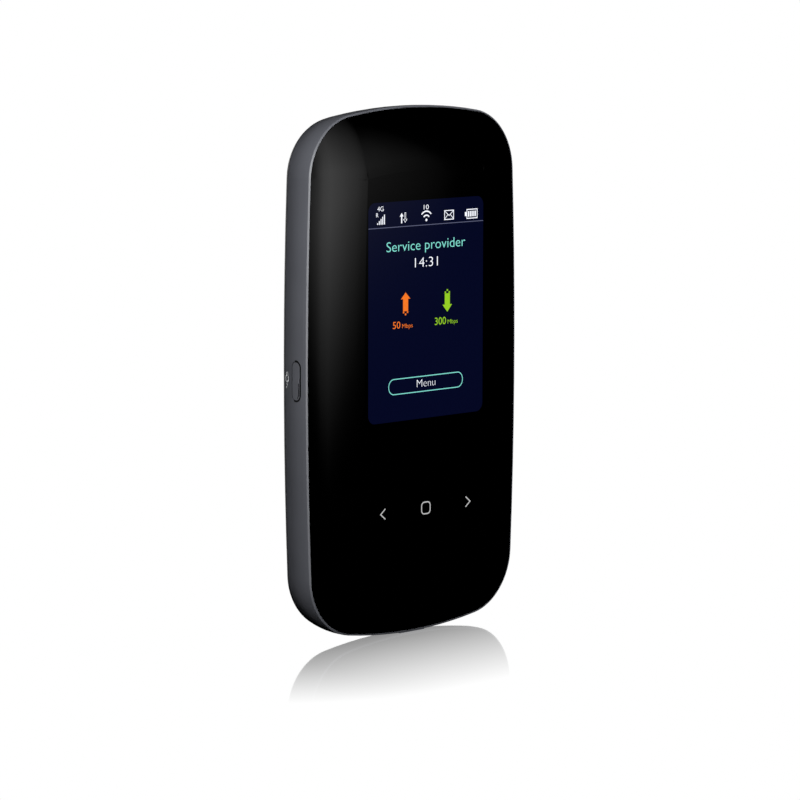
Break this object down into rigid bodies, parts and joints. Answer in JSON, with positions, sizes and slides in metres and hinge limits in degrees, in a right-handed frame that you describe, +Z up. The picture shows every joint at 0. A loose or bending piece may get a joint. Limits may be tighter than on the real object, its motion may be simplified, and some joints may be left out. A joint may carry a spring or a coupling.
{
  "type": "mobile hotspot",
  "caption": "Pocket 4G router with a domed black front over a colour display and touch keys, grey side frame, port flap and removable back and battery.",
  "frame": {"origin": "centre of the bounding box's bottom face, under the low end of the upright device", "axes": "+Z up along the body's length, -Y out of the lens, +X to the right as seen from the front"},
  "size_m": [0.067, 0.0144, 0.1189],
  "materials": {
    "side_frame": "fine satin blue-grey with a bright cut edge",
    "cover_plastic": "fine matte black",
    "inner_plastic": "matte black",
    "lens_black": "polished clear plastic, printed black behind",
    "print_black": "black print",
    "tape": "foam tape",
    "steel": "brushed",
    "white_plastic": "matte white",
    "light_guide": "white film",
    "display": "lit display",
    "flex": "amber film",
    "clear_film": "clear film",
    "clear_plastic": "clear moulded plastic",
    "board": "green solder mask",
    "led": "yellow-white lamp",
    "shield_metal": "tinned sheet",
    "chip": "moulded resin",
    "connector_plastic": "black nylon",
    "pad": "soft grey-blue silicone",
    "port_metal": "nickel plated",
    "gold": "gold plated",
    "flap_rubber": "satin, matched to the frame",
    "battery_case": "matte black",
    "battery_sleeve": "plain light grey sleeve",
    "button_plastic": "satin dark grey",
    "antenna_copper": "plated copper",
    "screw_steel": "blackened"
  },
  "bodies": {
    "root": {"front_frame": "side_frame", "rear_chassis": "inner_plastic", "front_lens": "lens_black", "lens_print": "print_black", "lens_adhesive": "tape", "mid_plate": "steel", "display_bracket": "white_plastic", "display_backlight": "light_guide", "display_glass": "display", "display_flex": "flex", "touch_key_sheet": "clear_film", "key_light_guide": "clear_plastic", "key_board": "board", "key_leds": "led", "key_flex": "flex", "main_board": "board", "modem_shield": "shield_metal", "radio_shield": "shield_metal", "modem_chip": "chip", "memory_chip": "chip", "power_chip": "chip", "wifi_chip": "chip", "board_connectors": "connector_plastic", "thermal_pad": "pad", "usb_shell": "port_metal", "usb_tongue": "connector_plastic", "usb_contacts": "gold", "sim_socket": "shield_metal", "sim_contacts": "gold", "battery_connector": "connector_plastic", "battery_springs": "gold", "power_switch": "shield_metal", "reset_switch": "shield_metal", "main_antenna": "antenna_copper", "diversity_antenna": "antenna_copper", "wifi_antenna": "antenna_copper", "antenna_feeds": "gold", "chassis_screws": "screw_steel"},
    "power_key": {"power_button": "button_plastic", "power_plunger": "connector_plastic"},
    "reset_key": {"reset_button": "button_plastic", "reset_plunger": "connector_plastic"},
    "port_flap": {"usb_cover": "flap_rubber"},
    "cover": {"back_cover": "cover_plastic"},
    "battery": {"battery_pack": "battery_case", "battery_wrap": "battery_sleeve", "battery_terminals": "gold"}
  },
  "joints": [
    {"name": "cover_pull", "type": "slide", "parent": "root", "child": "cover", "axis": [0, 1, 0], "range_m": [0, 0.036]},
    {"name": "battery_lift", "type": "slide", "parent": "root", "child": "battery", "axis": [0, 1, 0], "range_m": [0, 0.018]},
    {"name": "flap_turn", "type": "hinge", "parent": "root", "child": "port_flap", "pos_m": [-0.0334, 0.00015, 0.06362], "axis": [0, 1, 0], "range_deg": [0, 100]},
    {"name": "power_press", "type": "slide", "parent": "root", "child": "power_key", "axis": [-1, 0, 0], "range_m": [0, 0.0004], "stiffness_N_per_m": 4000},
    {"name": "reset_press", "type": "slide", "parent": "root", "child": "reset_key", "axis": [0, -1, 0], "range_m": [0, 0.00025], "stiffness_N_per_m": 4000}
  ],
  "couplings": [
    {"joint": "battery_lift", "follows": "cover_pull", "ratio": 0.5}
  ]
}
